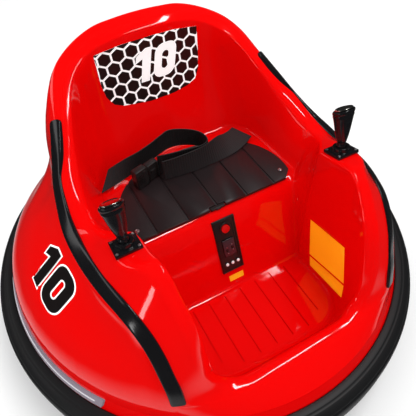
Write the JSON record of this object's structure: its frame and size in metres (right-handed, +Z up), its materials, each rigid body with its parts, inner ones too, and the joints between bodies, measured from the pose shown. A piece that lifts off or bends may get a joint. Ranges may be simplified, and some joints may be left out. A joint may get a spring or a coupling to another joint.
{
  "type": "child's ride-on electric bumper car",
  "caption": "Round ride-on toy bumper car with a foam ring, moulded red shell with seat and footwell, twin joysticks, lap belt and a battery drive.",
  "frame": {"origin": "on the floor under the middle of the bumper ring", "axes": "+Z up, -Y the way the car looks and drives, +X towards the rider's left hand"},
  "size_m": [0.6999, 0.7239, 0.4305],
  "materials": {
    "red_shell": "glossy moulded plastic",
    "black_trim": "glossy black plastic",
    "ring_foam": "matte soft plastic",
    "lens_clear": "clear smoky plastic",
    "lamp_board": "white strip with small lamps",
    "black_plastic": "satin black plastic",
    "wheel_rim_tyre": "black plastic tread",
    "steel": "zinc plated steel",
    "battery_case": "dark battery case",
    "button_red": "red push button",
    "display_window": "dark window",
    "knob_metal": "bright metal",
    "cap_silver": "silver plastic",
    "webbing": "woven nylon"
  },
  "bodies": {
    "car": {"battery": "battery_case", "belt_loop": "webbing", "belt_strap": "webbing", "body_tub": "red_shell", "buckle_socket": "black_plastic", "buckle_tongue": "black_plastic", "bumper_ring": "ring_foam", "control_panel": "black_plastic", "gearbox_left": "black_plastic", "gearbox_right": "black_plastic", "joystick_base_left": "black_plastic", "joystick_base_right": "black_plastic", "light_housing_left": "lamp_board", "light_housing_right": "lamp_board", "light_lens_left": "lens_clear", "light_lens_right": "lens_clear", "lower_pan": "black_plastic", "lower_skirt": "red_shell", "panel_display": "display_window", "panel_knobs": "knob_metal", "power_button": "button_red", "rear_shell": "red_shell", "seat_plate": "black_plastic", "side_panel_left": "red_shell", "side_panel_right": "red_shell", "trim_strip_left": "black_trim", "trim_strip_right": "black_trim"},
    "wheel_left": {"drive_hub_left": "black_plastic", "drive_tyre_left": "wheel_rim_tyre", "drive_axle_left": "steel"},
    "stick_left": {"joystick_grip_left": "black_plastic", "joystick_cap_left": "cap_silver"},
    "wheel_right": {"drive_hub_right": "black_plastic", "drive_tyre_right": "wheel_rim_tyre", "drive_axle_right": "steel"},
    "stick_right": {"joystick_grip_right": "black_plastic", "joystick_cap_right": "cap_silver"},
    "caster_front": {"caster_fork_front": "steel", "caster_pin_front": "steel"},
    "caster_roller_front": {"caster_wheel_front": "wheel_rim_tyre"},
    "caster_rear": {"caster_fork_rear": "steel", "caster_pin_rear": "steel"},
    "caster_roller_rear": {"caster_wheel_rear": "wheel_rim_tyre"}
  },
  "joints": [
    {"name": "drive_spin_left", "type": "hinge", "parent": "car", "child": "wheel_left", "pos_m": [0.215, 0.04, 0.065], "axis": [1, 0, 0], "continuous": true},
    {"name": "stick_tilt_left", "type": "hinge", "parent": "car", "child": "stick_left", "pos_m": [0.15, -0.13853, 0.32722], "axis": [1, 0, 0], "range_deg": [-15, 15], "stiffness_Nm_per_rad": 0.4},
    {"name": "drive_spin_right", "type": "hinge", "parent": "car", "child": "wheel_right", "pos_m": [-0.215, 0.04, 0.065], "axis": [1, 0, 0], "continuous": true},
    {"name": "stick_tilt_right", "type": "hinge", "parent": "car", "child": "stick_right", "pos_m": [-0.15, -0.13853, 0.32722], "axis": [1, 0, 0], "range_deg": [-15, 15], "stiffness_Nm_per_rad": 0.4},
    {"name": "caster_swivel_front", "type": "hinge", "parent": "car", "child": "caster_front", "pos_m": [0, -0.205, 0.08], "axis": [0, 0, 1], "continuous": true},
    {"name": "caster_spin_front", "type": "hinge", "parent": "caster_front", "child": "caster_roller_front", "pos_m": [0, -0.189, 0.025], "axis": [1, 0, 0], "continuous": true},
    {"name": "caster_swivel_rear", "type": "hinge", "parent": "car", "child": "caster_rear", "pos_m": [0, 0.222, 0.08], "axis": [0, 0, 1], "continuous": true},
    {"name": "caster_spin_rear", "type": "hinge", "parent": "caster_rear", "child": "caster_roller_rear", "pos_m": [0, 0.238, 0.025], "axis": [1, 0, 0], "continuous": true}
  ]
}
